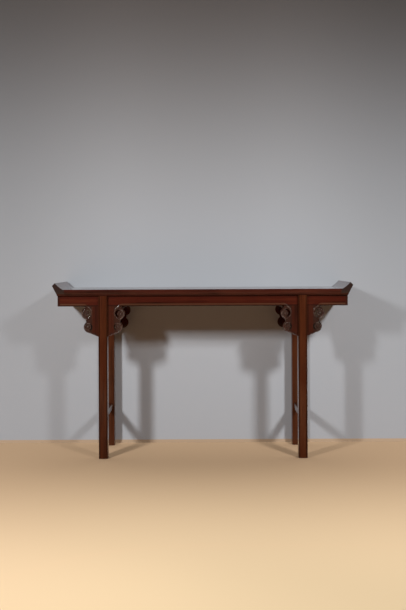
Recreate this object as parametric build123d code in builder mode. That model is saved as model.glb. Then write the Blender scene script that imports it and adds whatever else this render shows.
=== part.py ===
"""Altar table with everted ends: a panelled top on four forked legs, with cloud-scroll spandrels.

Millimetres, +Z up. The origin is on the floor under the middle of the table, +X runs along
the table's length and the front faces -Y. Every piece that a joiner cuts is a solid of its own.
Pieces that repeat are drawn where X and Y are positive, then mirrored into their own quarter.
"""

import os
from math import cos, radians, sin, sqrt

from build123d import *

# ---- Driving dimensions -----------------------------------------------------------------

# Top
top_length = 1420.0  # over the tips of both flanges
top_depth = 380.0
top_height = 800.0  # floor to the flat top surface
rail_thickness = 30.0
rail_width = 60.0
rail_undercut = 10.0  # how far the moulded edge falls back to its underside
rail_belly_height = 18.0  # underside to where the moulded edge begins to fall back
rail_arris = 2.0  # rounded edges

# Everted flange at each end
flange_reach = 56.0  # mitre corner to tip
flange_rise = 31.0
flange_ramp_start = 6.0  # mitre corner to the foot of the ramp
flange_ramp_sag = 2.5  # hollow of the ramp below a straight line
flange_tip_run = 13.0
flange_tip_drop = 13.0
flange_heel_run = 2.0  # step between the end apron and the flange's outer face
flange_heel_height = 9.0

# Floating panel and the battens that hold it flat
panel_thickness = 16.0
panel_tongue_thickness = 8.0
panel_groove_depth = 8.0
panel_tongue_play = 0.8  # room for the panel to swell
panel_seam = 0.4
batten_count = 4
batten_end_gap = 174.0  # end of the panel to the middle of the nearest batten
batten_width = 34.0
batten_height = 24.0
batten_chamfer = 3.0
batten_key_height = 5.0
batten_key_foot = 14.0
batten_key_head = 20.0
batten_tenon_length = 15.0
batten_tenon_thickness = 9.0
batten_shoulder = 2.5  # batten top and sides to the faces of its tenon

# Legs
leg_recess = 238.0  # flange tip to the middle of the leg
leg_width = 42.0
leg_depth = 50.0
leg_bead_radius = 4.0
leg_quirk_depth = 2.0
leg_field_crown = 1.2  # how far the middle bulges above the grooves beside it
leg_tenon_width = 26.0
leg_inner_tenon_thickness = 10.0
leg_inner_tenon_height = 17.0
leg_outer_tenon_thickness = 5.0
leg_outer_tenon_height = 10.0
leg_tenon_shoulder = 2.0  # fork slot to each tenon

# Aprons
apron_height = 50.0
apron_thickness = 14.0
apron_setback = 12.0  # behind the outer face of the legs
apron_bead_height = 13.0
apron_bead_proud = 3.5
apron_bead_stop = 56.0  # side of the leg to where the bead hands over to the spandrel
end_apron_thickness = 12.0
end_apron_inset = 22.5  # behind the flange's tip
apron_tongue_length = 5.0
apron_tongue_thickness = 5.0
apron_tongue_margin = 6.0

# Cloud-scroll spandrels: u runs out from the side of the leg, v runs down from the apron
spandrel_drop = 144.0
spandrel_shoulder = 66.0
upper_lobe = (52.0, 34.0)
upper_lobe_radius = 30.0
lower_lobe = (43.0, 98.0)
lower_lobe_radius = 28.0
lobe_waist = (60.5, 68.0)
lower_lobe_foot = (47.0, 125.5)
upper_eye = (61.5, 36.0)
lower_eye = (50.0, 97.0)
eye_radius = 4.0
upper_cut = (54.5, 34.0)
upper_cut_radius = 18.0
upper_cut_core = (63.0, 36.0)
lower_cut = (45.0, 98.0)
lower_cut_radius = 16.0
lower_cut_core = (53.0, 98.0)
cut_core_radius = 17.0
lower_cut_depth = 5.0
neck_ridge = (
    (62.0, -3.0),
    (52.0, 3.0),
    (41.0, 11.0),
    (34.5, 22.0),
    (32.8, 34.0),
    (36.5, 47.0),
    (45.0, 56.5),
    (54.0, 62.0),
)
foot_ridge = ((-4.0, 143.0), (12.0, 137.5), (28.0, 131.0))
ridge_width = 4.2
ridge_height = 2.4
ridge_inset = 2.4  # outline to the middle of the ridge
scroll_turns = 1.1
scroll_steps = 14
eye_height = 3.0
leg_side_gap = 0.3  # carving to the side of the leg

# Side stretchers
stretcher_width = 28.0
stretcher_height = 29.0
stretcher_middle = 200.0  # height of its centre line
stretcher_round = 5.0
stretcher_tenon_width = 12.0
stretcher_tenon_height = 20.0
stretcher_tenon_length = 25.0

# Corner joints of the top, and the pins that lock the joints
corner_tenon_offset = 14.0  # panel corner to tenon
corner_tenon_width = 22.0
corner_tenon_thickness = 11.0
corner_tenon_length = 44.0
corner_tenon_lift = 3.0  # above the underside of the frame
pin_radius = 3.0
stretcher_pin_length = 32.0
corner_pin_length = 24.0

# Fits
fit_clearance = 0.1  # each side of a tenon, tongue or key
pin_clearance = 0.02
mortise_extra_depth = 0.5

# ---- Derived places ---------------------------------------------------------------------

outer_y = top_depth / 2
frame_underside = top_height - rail_thickness
corner_x = top_length / 2 - flange_reach
panel_edge_x = corner_x - rail_width
panel_edge_y = outer_y - rail_width
panel_underside = top_height - panel_thickness
groove_edge_x = panel_edge_x + panel_groove_depth
groove_edge_y = panel_edge_y + panel_groove_depth
groove_top = panel_underside + panel_tongue_thickness

leg_x = top_length / 2 - leg_recess
leg_near_x = leg_x - leg_width / 2
leg_far_x = leg_x + leg_width / 2
leg_outer_y = outer_y - rail_undercut
leg_inner_y = leg_outer_y - leg_depth

apron_outer_y = leg_outer_y - apron_setback
apron_inner_y = apron_outer_y - apron_thickness
apron_middle_y = (apron_outer_y + apron_inner_y) / 2
apron_underside = frame_underside - apron_height
end_apron_outer_x = top_length / 2 - end_apron_inset
end_apron_inner_x = end_apron_outer_x - end_apron_thickness
fork_foot = apron_underside - spandrel_drop

inner_tenon_y = apron_inner_y - leg_tenon_shoulder - leg_inner_tenon_thickness / 2
outer_tenon_y = apron_outer_y + leg_tenon_shoulder + leg_outer_tenon_thickness / 2
corner_tenon_x = panel_edge_x + corner_tenon_offset + corner_tenon_width / 2
corner_tenon_z = frame_underside + corner_tenon_lift + corner_tenon_thickness / 2
corner_pin_y = panel_edge_y + corner_tenon_length - corner_tenon_width / 2
stretcher_pin_y = leg_inner_y + stretcher_tenon_length / 2
batten_reach = panel_edge_x - batten_end_gap
batten_places = [batten_reach * (2 * i / (batten_count - 1) - 1) for i in range(batten_count)]


# ---- Shared features: each acts on the builder around it ----------------------------------


def block(x, y, z, grow=0.0, side=(1, 1), mode=Mode.ADD):
    """A box over three spans, grown all round and mirrored to the given sides of the table."""
    sizes = [high - low + 2 * grow for low, high in (x, y, z)]
    with Locations((side[0] * sum(x) / 2, side[1] * sum(y) / 2, sum(z) / 2)):
        Box(*sizes, mode=mode)


def into_quarter(side_x, side_y):
    """Mirrors the piece in hand into its own quarter of the table."""
    if side_x < 0:
        mirror(about=Plane.YZ, mode=Mode.REPLACE)
    if side_y < 0:
        mirror(about=Plane.XZ, mode=Mode.REPLACE)


def keep(shape, name):
    """Names a finished piece and writes it to its own file."""
    shape.label = name
    export_step(shape, f"parts/{name}.step")


def leg_tenons(side_x=1, grow=0.0, deeper=0.0, mode=Mode.ADD):
    """The two tenons on top of a leg, one each side of the fork, or their mortises."""
    for y, thickness, height in (
        (inner_tenon_y, leg_inner_tenon_thickness, leg_inner_tenon_height),
        (outer_tenon_y, leg_outer_tenon_thickness, leg_outer_tenon_height),
    ):
        block(
            (leg_x - leg_tenon_width / 2, leg_x + leg_tenon_width / 2),
            (y - thickness / 2, y + thickness / 2),
            (frame_underside, frame_underside + height + deeper),
            grow,
            (side_x, 1),
            mode,
        )


def corner_tenon(side, grow=0.0, deeper=0.0, mode=Mode.ADD):
    """The tenon on an end board's mitre, or its mortise."""
    block(
        (corner_tenon_x - corner_tenon_width / 2, corner_tenon_x + corner_tenon_width / 2),
        (panel_edge_y, panel_edge_y + corner_tenon_length + deeper),
        (corner_tenon_z - corner_tenon_thickness / 2, corner_tenon_z + corner_tenon_thickness / 2),
        grow,
        side,
        mode,
    )


def corner_pin(side, radius=pin_radius, deeper=0.0, mode=Mode.ADD):
    """The upright pin through a corner tenon, or its hole."""
    with Locations((side[0] * corner_tenon_x, side[1] * corner_pin_y, frame_underside)):
        Cylinder(
            radius,
            corner_pin_length + deeper,
            align=(Align.CENTER, Align.CENTER, Align.MIN),
            mode=mode,
        )


def stretcher_pin(side, radius=pin_radius, deeper=0.0, mode=Mode.ADD):
    """The level pin driven through a stretcher's tenon from inside the leg, or its hole."""
    middle_x = leg_near_x + (stretcher_pin_length + deeper) / 2
    with Locations((side[0] * middle_x, side[1] * stretcher_pin_y, stretcher_middle)):
        Cylinder(radius, stretcher_pin_length + deeper, rotation=(0, 90, 0), mode=mode)


def stretcher_tenon(side_y=1, grow=0.0, deeper=0.0, mode=Mode.ADD):
    """The tenon on one end of a stretcher, or its mortise."""
    block(
        (leg_x - stretcher_tenon_width / 2, leg_x + stretcher_tenon_width / 2),
        (leg_inner_y, leg_inner_y + stretcher_tenon_length + deeper),
        (stretcher_middle - stretcher_tenon_height / 2, stretcher_middle + stretcher_tenon_height / 2),
        grow,
        (1, side_y),
        mode,
    )


def batten_tenon(x, side_y=1, grow=0.0, deeper=0.0, mode=Mode.ADD):
    """The tenon on one end of a batten, or its mortise."""
    half = batten_width / 2 - batten_shoulder
    tenon_top = panel_underside - batten_shoulder
    block(
        (x - half, x + half),
        (panel_edge_y, panel_edge_y + batten_tenon_length + deeper),
        (tenon_top - batten_tenon_thickness, tenon_top),
        grow,
        (1, side_y),
        mode,
    )


def batten_key(x, half_length, grow=0.0, mode=Mode.ADD):
    """The dovetail key along a batten, or its slot across the panel."""
    foot = batten_key_foot / 2 + grow
    head = batten_key_head / 2 + grow
    key_top = panel_underside + batten_key_height + grow
    with BuildSketch(Plane.XZ.offset(-half_length)) as key:
        with BuildLine():
            Polyline(
                (x - foot, panel_underside),
                (x + foot, panel_underside),
                (x + head, key_top),
                (x - head, key_top),
                close=True,
            )
        make_face()
    extrude(key.sketch, amount=2 * half_length, mode=mode)


def apron_tongue(side, grow=0.0, deeper=0.0, mode=Mode.ADD):
    """The tongue on the end of a long apron, or its groove in the end apron."""
    block(
        (end_apron_inner_x, end_apron_inner_x + apron_tongue_length + deeper),
        (apron_middle_y - apron_tongue_thickness / 2, apron_middle_y + apron_tongue_thickness / 2),
        (apron_underside + apron_tongue_margin, frame_underside - apron_tongue_margin),
        grow,
        side,
        mode,
    )


def undercut(side_y):
    """Rounds the edge of the top under to its belly moulding, along the whole length."""
    belly_top = frame_underside + rail_belly_height
    start = (side_y * outer_y, belly_top)
    foot = (side_y * leg_outer_y, frame_underside)
    corner = (side_y * outer_y, frame_underside)
    with BuildSketch(Plane.YZ.offset(-top_length / 2)) as waste:
        with BuildLine():
            TangentArc(start, foot, tangent=(0, -1))
            Polyline(foot, corner, start)
        make_face()
    extrude(waste.sketch, amount=top_length, mode=Mode.SUBTRACT)


def bead(start_x, stop_x):
    """The half-round bead along the lower edge of a long apron, between two places."""
    top = (apron_outer_y, apron_underside + apron_bead_height)
    nose = (apron_outer_y + apron_bead_proud, apron_underside + apron_bead_height / 2)
    foot = (apron_outer_y, apron_underside)
    with BuildSketch(Plane.YZ.offset(start_x)) as section:
        with BuildLine():
            ThreePointArc(foot, nose, top)
            Line(top, foot)
        make_face()
    extrude(section.sketch, amount=stop_x - start_x)


# ---- Top --------------------------------------------------------------------------------


def make_rail(side_y):
    """A long rail: moulded outer edge, panel groove, mitred ends and the mortises it takes."""
    with BuildPart() as rail:
        block((-corner_x, corner_x), (panel_edge_y, outer_y), (frame_underside, top_height))
        undercut(1)
        fillet(rail.edges().filter_by(Axis.X).group_by(Axis.Z)[-1].sort_by(Axis.Y)[-1], rail_arris)
        block(
            (-groove_edge_x, groove_edge_x),
            (panel_edge_y, groove_edge_y),
            (panel_underside, groove_top),
            mode=Mode.SUBTRACT,
        )
        for side in (-1, 1):
            mitre = Plane((side * corner_x, outer_y, 0), x_dir=(0, 0, 1), z_dir=(side, -1, 0))
            split(bisect_by=mitre, keep=Keep.BOTTOM)
            leg_tenons(side, fit_clearance, mortise_extra_depth, Mode.SUBTRACT)
            corner_tenon((side, 1), fit_clearance, mortise_extra_depth, Mode.SUBTRACT)
            corner_pin((side, 1), pin_radius + pin_clearance, mortise_extra_depth, Mode.SUBTRACT)
        for x in batten_places:
            batten_tenon(x, 1, fit_clearance, mortise_extra_depth, Mode.SUBTRACT)
        into_quarter(1, side_y)
    return rail.part


def make_end_board(side_x):
    """One end of the top: a mitred end rail that turns up into the flange, all one board."""
    ramp_foot = (corner_x + flange_ramp_start, top_height)
    tip = (top_length / 2 - flange_tip_run, top_height + flange_rise)
    ramp_middle = ((ramp_foot[0] + tip[0]) / 2, top_height + flange_rise / 2 - flange_ramp_sag)
    with BuildPart() as board:
        with BuildSketch(Plane.XZ.offset(-outer_y)):
            with BuildLine():
                Polyline(
                    tip,
                    (top_length / 2, tip[1] - flange_tip_drop),
                    (end_apron_outer_x + flange_heel_run, frame_underside + flange_heel_height),
                    (end_apron_outer_x, frame_underside),
                    (panel_edge_x, frame_underside),
                    (panel_edge_x, top_height),
                    ramp_foot,
                )
                ThreePointArc(ramp_foot, ramp_middle, tip)
            make_face()
        extrude(amount=top_depth)
        for side in (-1, 1):
            mitre = Plane((corner_x, side * outer_y, 0), x_dir=(0, 0, 1), z_dir=(-1, side, 0))
            split(bisect_by=mitre, keep=Keep.BOTTOM)
            undercut(side)
        block(
            (panel_edge_x, groove_edge_x),
            (-groove_edge_y, groove_edge_y),
            (panel_underside, groove_top),
            mode=Mode.SUBTRACT,
        )
        for side in (-1, 1):
            corner_tenon((1, side))
            corner_pin((1, side), pin_radius + pin_clearance, mode=Mode.SUBTRACT)
        into_quarter(side_x, 1)
    return board.part


def make_panel():
    """The floating panel, tongued all round, with a dovetail slot for each batten."""
    tongue_x = groove_edge_x - panel_tongue_play
    tongue_y = groove_edge_y - panel_tongue_play
    seam_x = panel_edge_x - panel_seam
    seam_y = panel_edge_y - panel_seam
    with BuildPart() as panel:
        block((-seam_x, seam_x), (-seam_y, seam_y), (panel_underside, top_height))
        block(
            (-tongue_x, tongue_x),
            (-tongue_y, tongue_y),
            (panel_underside, groove_top - fit_clearance),
        )
        for x in batten_places:
            batten_key(x, tongue_y, fit_clearance, Mode.SUBTRACT)
    return panel.part


def make_batten(x):
    """A batten keyed into the panel from below and tenoned into both long rails."""
    with BuildPart() as batten:
        block(
            (x - batten_width / 2, x + batten_width / 2),
            (-panel_edge_y, panel_edge_y),
            (panel_underside - batten_height, panel_underside),
        )
        chamfer(batten.edges().filter_by(Axis.Y).group_by(Axis.Z)[0], batten_chamfer)
        batten_key(x, panel_edge_y)
        batten_tenon(x, 1)
        batten_tenon(x, -1)
    return batten.part


# ---- Legs and stretchers ----------------------------------------------------------------


def make_leg(side_x, side_y):
    """A leg with a beaded outer face, forked at the top for the apron and spandrels."""
    side = leg_width / 2
    bead_x = side - leg_bead_radius
    bead_y = leg_outer_y - leg_bead_radius
    quirk_x = bead_x - sqrt(leg_bead_radius**2 - (leg_bead_radius - leg_quirk_depth) ** 2)
    quirk_y = leg_outer_y - leg_quirk_depth
    with BuildPart() as leg:
        with BuildSketch():
            with BuildLine():
                Polyline(
                    (leg_x - side, bead_y),
                    (leg_x - side, leg_inner_y),
                    (leg_x + side, leg_inner_y),
                    (leg_x + side, bead_y),
                )
                for end in (-1, 1):
                    ThreePointArc(
                        (leg_x + end * side, bead_y),
                        (leg_x + end * bead_x, leg_outer_y),
                        (leg_x + end * quirk_x, quirk_y),
                    )
                ThreePointArc(
                    (leg_x - quirk_x, quirk_y),
                    (leg_x, quirk_y + leg_field_crown),
                    (leg_x + quirk_x, quirk_y),
                )
            make_face()
        extrude(amount=frame_underside)
        fillet(leg.edges().filter_by(Axis.Z).group_by(Axis.Y)[0], rail_arris)
        leg_tenons()
        block(
            (leg_near_x - 1, leg_far_x + 1),
            (apron_inner_y - fit_clearance, apron_outer_y + fit_clearance),
            (fork_foot, top_height),
            mode=Mode.SUBTRACT,
        )
        stretcher_tenon(1, fit_clearance, mortise_extra_depth, Mode.SUBTRACT)
        stretcher_pin((1, 1), pin_radius + pin_clearance, mortise_extra_depth, Mode.SUBTRACT)
        into_quarter(side_x, side_y)
    return leg.part


def make_stretcher(side_x):
    """The stretcher between the two legs at one end, with a tenon into each."""
    with BuildPart() as stretcher:
        with BuildSketch(Plane.XZ.offset(-leg_inner_y)):
            with Locations((leg_x, stretcher_middle)):
                RectangleRounded(stretcher_width, stretcher_height, stretcher_round)
        extrude(amount=2 * leg_inner_y)
        for side in (-1, 1):
            stretcher_tenon(side)
            stretcher_pin((1, side), pin_radius + pin_clearance, mode=Mode.SUBTRACT)
        into_quarter(side_x, 1)
    return stretcher.part


# ---- Aprons -----------------------------------------------------------------------------


def make_long_apron(side_y):
    """A long apron through both forks; its bead stops where the spandrels take it on."""
    near_stop = leg_near_x - apron_bead_stop
    far_start = leg_far_x + apron_bead_stop
    with BuildPart() as apron:
        block(
            (-end_apron_inner_x, end_apron_inner_x),
            (apron_inner_y, apron_outer_y),
            (apron_underside, frame_underside),
        )
        bead(-near_stop, near_stop)
        bead(far_start, end_apron_inner_x)
        bead(-end_apron_inner_x, -far_start)
        apron_tongue((1, 1))
        apron_tongue((-1, 1))
        into_quarter(1, side_y)
    return apron.part


def make_end_apron(side_x):
    """The board that closes one end under the top, grooved for both long aprons."""
    with BuildPart() as apron:
        block(
            (end_apron_inner_x, end_apron_outer_x),
            (-apron_outer_y, apron_outer_y),
            (apron_underside, frame_underside),
        )
        fillet(apron.edges().filter_by(Axis.Z).group_by(Axis.X)[-1], rail_arris)
        for side in (-1, 1):
            apron_tongue((1, side), fit_clearance, mortise_extra_depth, Mode.SUBTRACT)
        into_quarter(side_x, 1)
    return apron.part


# ---- Spandrels --------------------------------------------------------------------------


def scroll_points(start_angle, radius, lobe, eye):
    """A curve that begins as the rim of a lobe and winds in to the lobe's eye."""
    points = []
    for i in range(scroll_steps + 1):
        share = i / scroll_steps
        angle = radians(start_angle - 360 * scroll_turns * share)
        reach = radius + (eye_radius - radius) * share
        middle_u = lobe[0] + (eye[0] - lobe[0]) * share
        middle_v = lobe[1] + (eye[1] - lobe[1]) * share
        points.append((middle_u + reach * cos(angle), middle_v + reach * sin(angle)))
    return points


def make_spandrel(side_x, side_y, outboard):
    """A cloud board beside a leg: pierced, with raised ridges that wind into two scrolls."""
    tongue = leg_width / 2 - fit_clearance
    back = Plane((leg_far_x, apron_inner_y, apron_underside), x_dir=(1, 0, 0), z_dir=(0, 1, 0))
    face = Plane((leg_far_x, apron_outer_y, apron_underside), x_dir=(1, 0, 0), z_dir=(0, 1, 0))
    upper_rim = upper_lobe_radius - ridge_inset
    lower_rim = lower_lobe_radius - ridge_inset
    with BuildPart() as spandrel:
        with BuildSketch(back):
            with BuildLine():
                Polyline(
                    (-tongue, 0),
                    (spandrel_shoulder, 0),
                    (spandrel_shoulder, upper_lobe[1]),
                    lobe_waist,
                    lower_lobe_foot,
                    (0, spandrel_drop),
                    (-tongue, spandrel_drop),
                    close=True,
                )
            make_face()
            with Locations(upper_lobe):
                Circle(upper_lobe_radius)
            with Locations(lower_lobe):
                Circle(lower_lobe_radius)
        extrude(amount=apron_thickness)
        with BuildSketch(back):
            with Locations(upper_cut):
                Circle(upper_cut_radius)
            with Locations(upper_cut_core):
                Circle(cut_core_radius, mode=Mode.SUBTRACT)
        extrude(amount=apron_thickness, mode=Mode.SUBTRACT)
        with BuildSketch(face):
            with Locations(lower_cut):
                Circle(lower_cut_radius)
            with Locations(lower_cut_core):
                Circle(cut_core_radius, mode=Mode.SUBTRACT)
        extrude(amount=-lower_cut_depth, mode=Mode.SUBTRACT)
        with BuildSketch(face):
            with BuildLine():
                Spline(*neck_ridge)
            trace(line_width=ridge_width)
            with BuildLine():
                Spline(*scroll_points(75, upper_rim, upper_lobe, upper_eye))
            trace(line_width=ridge_width)
            with BuildLine():
                Spline(*foot_ridge, *scroll_points(75, lower_rim, lower_lobe, lower_eye))
            trace(line_width=ridge_width)
            with Locations((0, -spandrel_drop / 2)):
                Rectangle(2 * spandrel_drop, spandrel_drop, mode=Mode.SUBTRACT)
            with Locations((leg_side_gap - tongue / 2, spandrel_drop / 2)):
                Rectangle(tongue, 2 * spandrel_drop, mode=Mode.SUBTRACT)
        extrude(amount=ridge_height)
        with BuildSketch(face):
            with Locations(upper_eye, lower_eye):
                Circle(eye_radius)
        extrude(amount=eye_height)
        if not outboard:
            mirror(about=Plane.YZ.offset(leg_x), mode=Mode.REPLACE)
        into_quarter(side_x, side_y)
    return spandrel.part


# ---- Pins -------------------------------------------------------------------------------


def make_pins(pin):
    """The four pins of one kind, one in each quarter."""
    with BuildPart() as pins:
        for side in ((-1, -1), (1, -1), (-1, 1), (1, 1)):
            pin(side)
    return pins.part


# ---- Assembly ---------------------------------------------------------------------------

os.makedirs("parts", exist_ok=True)

keep(make_panel(), "top_panel")
for number, batten_x in enumerate(batten_places, start=1):
    keep(make_batten(batten_x), f"batten_{number}")

for end, end_side in (("left", -1), ("right", 1)):
    keep(make_end_board(end_side), f"{end}_end_board")
    keep(make_end_apron(end_side), f"{end}_end_apron")
    keep(make_stretcher(end_side), f"{end}_stretcher")

for face_name, face_side in (("front", -1), ("back", 1)):
    keep(make_rail(face_side), f"{face_name}_rail")
    keep(make_long_apron(face_side), f"{face_name}_apron")
    for end, end_side in (("left", -1), ("right", 1)):
        corner = f"{face_name}_{end}"
        keep(make_leg(end_side, face_side), f"{corner}_leg")
        keep(make_spandrel(end_side, face_side, True), f"{corner}_outer_spandrel")
        keep(make_spandrel(end_side, face_side, False), f"{corner}_inner_spandrel")

keep(make_pins(stretcher_pin), "stretcher_pins")
keep(make_pins(corner_pin), "corner_pins")
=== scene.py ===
"""A long altar table in lacquered hardwood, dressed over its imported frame.

Metres, +Z up, +X along the table, front facing -Y. Each sub-assembly is drawn in the quarter
where X and Y are positive and mirrored into the other quarters.
"""
from __future__ import annotations

import logging
import math
from dataclasses import dataclass, field, replace
from enum import Enum
from typing import Any, Callable, Sequence

import bmesh
import bpy
import numpy as np
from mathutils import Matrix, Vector
from mathutils.geometry import delaunay_2d_cdt


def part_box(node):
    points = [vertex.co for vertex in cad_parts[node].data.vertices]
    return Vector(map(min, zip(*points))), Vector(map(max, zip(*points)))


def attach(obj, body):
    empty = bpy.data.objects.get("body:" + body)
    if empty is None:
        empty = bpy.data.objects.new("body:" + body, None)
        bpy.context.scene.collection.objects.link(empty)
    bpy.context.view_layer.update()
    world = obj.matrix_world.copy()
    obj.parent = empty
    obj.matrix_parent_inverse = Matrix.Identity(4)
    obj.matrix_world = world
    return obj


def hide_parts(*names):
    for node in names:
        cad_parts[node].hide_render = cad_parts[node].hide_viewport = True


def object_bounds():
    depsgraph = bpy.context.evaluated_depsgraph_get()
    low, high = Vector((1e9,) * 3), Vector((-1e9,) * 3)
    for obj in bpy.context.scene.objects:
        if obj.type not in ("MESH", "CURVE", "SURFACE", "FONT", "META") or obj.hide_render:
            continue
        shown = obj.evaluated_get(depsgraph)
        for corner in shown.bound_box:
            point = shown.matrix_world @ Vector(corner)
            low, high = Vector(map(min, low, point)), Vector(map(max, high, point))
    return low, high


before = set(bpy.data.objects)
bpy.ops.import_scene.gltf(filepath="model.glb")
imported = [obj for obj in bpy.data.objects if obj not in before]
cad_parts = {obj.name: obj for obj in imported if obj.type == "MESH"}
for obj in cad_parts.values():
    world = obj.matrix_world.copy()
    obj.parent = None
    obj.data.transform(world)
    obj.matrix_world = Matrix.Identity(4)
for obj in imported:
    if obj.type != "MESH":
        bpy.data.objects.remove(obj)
cad_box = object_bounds()

LOG = logging.getLogger("altar_table")
MM = 0.001
TINY = 1e-12  # Keeps a division clear of 0.
TOUCHING = 0.002 * MM  # Vertices that are nearer than this become one.
SHARP = 28.0  # Edges that turn by more degrees than this are rounded.
SMOOTH = 38.0  # Edges that turn by fewer degrees than this are shaded smooth.
ROUNDING_STEPS = 3
PIECE_SHIFT = 9.0  # The most that the grain moves from one piece to the next.
TRIANGULAR = 0.866  # The spacing of rows in a grid of equal triangles.
GRID_MERGE = 1e-5  # Millimetres within which places on the carved face are one.
SEEN = ("Camera", "Glossy", "Transmission")  # Rays that show a thing, straight or mirrored.

Colour = tuple[float, float, float]
Triple = tuple[float, float, float]
Pair = tuple[float, float]
Path = np.ndarray


class Named(Enum):
    """A choice that the nodes spell in small letters."""

    @property
    def label(self) -> str:
        """The name as the nodes spell it."""
        return self.name.lower()


class Grain(Named):
    """The axis that the grain of a board runs along."""

    LENGTHWISE = 0
    CROSSWISE = 1
    UPRIGHT = 2


class Quarter(Named):
    """A quarter of the table, as the signs that mirror a drawn piece to it in X and Y."""

    FRONT_LEFT = (-1, -1)
    FRONT_RIGHT = (1, -1)
    BACK_LEFT = (-1, 1)
    BACK_RIGHT = (1, 1)


class Face(Named):
    """A long side of the table, as the signs that mirror a drawn piece to it in X and Y."""

    FRONT = (1, -1)
    BACK = (1, 1)


class End(Named):
    """An end of the table, as the signs that mirror a drawn piece to it in X and Y."""

    LEFT = (-1, 1)
    RIGHT = (1, 1)


class Side(Named):
    """Which side of its leg a spandrel stands on."""

    OUTER = 1
    INNER = -1


class Tone(Enum):
    """A painted tone that a mesh carries from place to place, 0 to 1."""

    # Painted highlight on the carved ribs and the apron bead, and painted light on the back legs,
    # with some rubbed wear.
    CREST = "crest"
    # Painted shade in the quirks, the carved ground, the sunk crescent, the bead's lower edge and
    # the stretchers' tops, with dust in the carving.
    HOLLOW = "hollow"


def put_in_scene(name: str, data: Any) -> bpy.types.Object:
    """Puts a mesh, a lamp or a camera in the scene.

    Args:
        name: The new object's name.
        data: Its mesh, lamp or camera data.

    Returns:
        The new object.
    """
    made = bpy.data.objects.new(name, data)
    bpy.context.scene.collection.objects.link(made)
    return made


# ---- Node trees ---------------------------------------------------------------------------


class Recipe:
    """A material or world node tree under construction."""

    def __init__(self, owner: Any) -> None:
        """Starts an empty tree.

        Args:
            owner: The material or world whose tree is built.
        """
        owner.use_nodes = True
        self.tree = owner.node_tree
        self.tree.nodes.clear()

    def add(self, kind: str, inputs: dict[Any, Any] | None = None, **settings: Any) -> Any:
        """Adds a node.

        Args:
            kind: The node's type name, without the ShaderNode prefix.
            inputs: Socket name or number to a constant or to another node's output.
            settings: Attributes to set on the node before its sockets.

        Returns:
            The new node.
        """
        node = self.tree.nodes.new("ShaderNode" + kind)
        for name, value in settings.items():
            setattr(node, name, value)
        for key, value in (inputs or {}).items():
            socket = node.inputs[key]
            if isinstance(value, bpy.types.NodeSocket):
                self.tree.links.new(value, socket)
            else:
                socket.default_value = (*value, 1.0) if socket.type == "RGBA" else value
        return node

    def maths(self, operation: str, *values: Any, clamp: bool = False) -> Any:
        """Gives the result of a Math node for its values in order."""
        inputs = dict(enumerate(values))
        return self.add("Math", inputs, operation=operation, use_clamp=clamp).outputs[0]

    def times(self, *factors: Any) -> Any:
        """Gives the product of two values."""
        return self.maths("MULTIPLY", *factors)

    def blend(self, share: Any, first: Any, second: Any, mode: str = "MIX") -> Any:
        """Mixes a share of a second colour into a first, by the colour sockets of a Mix node."""
        inputs = {0: share, 6: first, 7: second}
        return self.add("Mix", inputs, data_type="RGBA", blend_type=mode).outputs[2]

    def ramp(self, share: Any, start: float, stop: float) -> Any:
        """Maps a value smoothly to 0 at start and 1 at stop."""
        inputs = {"Value": share, "From Min": start, "From Max": stop}
        return self.add("MapRange", inputs, interpolation_type="SMOOTHSTEP").outputs["Result"]

    def noise(self, where: Any, scale: float, detail: float = 2.0, rough: float = 0.5) -> Any:
        """Gives noise of a scale, with so many octaves of a roughness."""
        inputs = {"Vector": where, "Scale": scale, "Detail": detail, "Roughness": rough}
        return self.add("TexNoise", inputs).outputs["Fac"]

    def place(self, space: str = "Object") -> Any:
        """Gives the coordinates in a space."""
        return self.add("TexCoord").outputs[space]

    def axes(self, space: str = "Object") -> Any:
        """Gives the coordinates in a space, one axis at a time."""
        return self.add("SeparateXYZ", {"Vector": self.place(space)}).outputs

    def rays(self, *kinds: str) -> Any:
        """Finds the rays of some kinds.

        Args:
            kinds: Camera, Diffuse, Glossy or Transmission.

        Returns:
            The socket of a mask, 0 or 1.
        """
        found = self.add("LightPath").outputs
        mask, *others = [found[f"Is {kind} Ray"] for kind in kinds]
        for other in others:
            mask = self.maths("ADD", mask, other, clamp=True)
        return mask

    def show(self, shader: Any, owner: str = "Material") -> None:
        """Ends the tree with a shader node."""
        self.add("Output" + owner, {"Surface": shader.outputs[0]})


# ---- Finishes -----------------------------------------------------------------------------


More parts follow.
